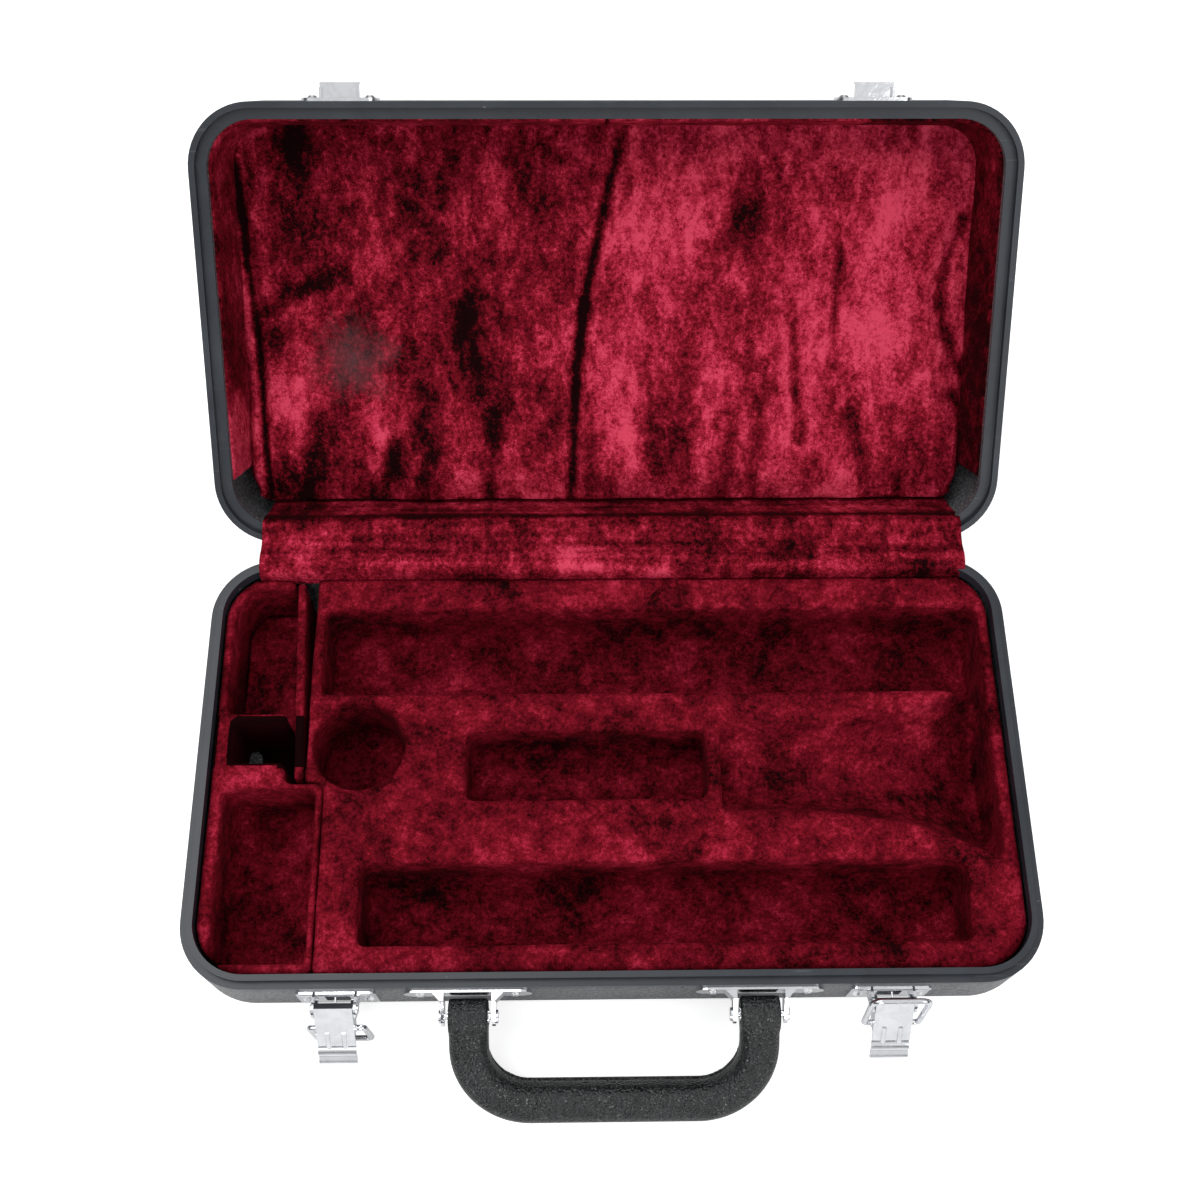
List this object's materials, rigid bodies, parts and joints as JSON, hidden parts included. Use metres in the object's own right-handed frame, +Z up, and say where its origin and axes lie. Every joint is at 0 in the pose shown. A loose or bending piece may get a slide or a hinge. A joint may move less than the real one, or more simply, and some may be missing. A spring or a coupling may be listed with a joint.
{
  "type": "clarinet case",
  "caption": "Open hard instrument case with plush-lined wells, a padded hinged lid, two wire-loop draw latches and a folding leather-covered handle.",
  "frame": {"origin": "middle of the base's flat underside, on the surface that the case stands on", "axes": "+X to the case's right as seen from the handle side, +Y from the handle side to the hinge, +Z up"},
  "size_m": [0.32, 0.3759, 0.161],
  "materials": {
    "case_plastic": "black moulded plastic, fine pebble grain on the walls, smoother satin rim",
    "red_plush": "deep red crushed plush with light and dark nap",
    "former_board": "pressed fibre former, hidden under the plush",
    "backing_board": "grey-brown backing board",
    "latch_chrome": "nickel-plated pressed steel, lightly worn",
    "rivet_steel": "plated steel rivets",
    "hinge_steel": "plated steel hinge",
    "grip_leather": "black pebbled leatherette with stitched edge"
  },
  "bodies": {
    "base": {"base_shell": "case_plastic", "main_insert": "former_board", "main_lining": "red_plush", "side_insert": "former_board", "side_lining": "red_plush", "corner_pad": "red_plush", "partition": "red_plush", "gusset": "red_plush", "base_hinge_leaf_left": "hinge_steel", "base_hinge_leaf_right": "hinge_steel", "base_hinge_rivets": "rivet_steel", "hinge_pin_left": "hinge_steel", "hinge_pin_right": "hinge_steel", "latch_plate_left": "latch_chrome", "latch_plate_right": "latch_chrome", "latch_rivets": "rivet_steel", "lever_pin_left": "latch_chrome", "lever_pin_right": "latch_chrome", "latch_spring_left": "latch_chrome", "latch_spring_right": "latch_chrome", "handle_bracket_left": "latch_chrome", "handle_bracket_right": "latch_chrome", "bracket_rivets": "rivet_steel", "handle_pin_left": "latch_chrome", "handle_pin_right": "latch_chrome"},
    "lid": {"lid_shell": "case_plastic", "lid_board": "backing_board", "lid_lining": "red_plush", "lid_strip_left": "red_plush", "lid_strip_right": "red_plush", "lid_hinge_leaf_left": "hinge_steel", "lid_hinge_leaf_right": "hinge_steel", "lid_hinge_rivets": "rivet_steel", "keeper_left": "latch_chrome", "keeper_right": "latch_chrome", "keeper_rivets": "rivet_steel"},
    "left_lever": {"lever_left": "latch_chrome"},
    "right_lever": {"lever_right": "latch_chrome"},
    "left_loop": {"loop_left": "latch_chrome"},
    "right_loop": {"loop_right": "latch_chrome"},
    "handle": {"handle_core": "rivet_steel", "handle_grip": "grip_leather", "handle_backing": "grip_leather"}
  },
  "joints": [
    {"name": "lid_hinge", "type": "hinge", "parent": "base", "child": "lid", "pos_m": [0, 0.0907, 0.0402], "axis": [1, 0, 0], "range_deg": [0, 136.4], "deforming": ["gusset"]},
    {"name": "left_lever_pin", "type": "hinge", "parent": "base", "child": "left_lever", "pos_m": [-0.1019, -0.093, 0.0378], "axis": [1, 0, 0], "range_deg": [-50, 35]},
    {"name": "left_loop_swing", "type": "hinge", "parent": "left_lever", "child": "left_loop", "pos_m": [-0.1019, -0.09845, 0.03002], "axis": [-1, 0, 0], "range_deg": [-15, 220.1]},
    {"name": "right_lever_pin", "type": "hinge", "parent": "base", "child": "right_lever", "pos_m": [0.1019, -0.093, 0.0378], "axis": [1, 0, 0], "range_deg": [-50, 35]},
    {"name": "right_loop_swing", "type": "hinge", "parent": "right_lever", "child": "right_loop", "pos_m": [0.1019, -0.09845, 0.03002], "axis": [-1, 0, 0], "range_deg": [-188, 32.1]},
    {"name": "handle_swing", "type": "hinge", "parent": "base", "child": "handle", "pos_m": [0, -0.0949, 0.03], "axis": [-1, 0, 0], "range_deg": [0, 117.5]}
  ],
  "couplings": [
    {"joint": "left_lever_pin", "follows": "left_loop_swing", "ratio": 0.15902}
  ]
}
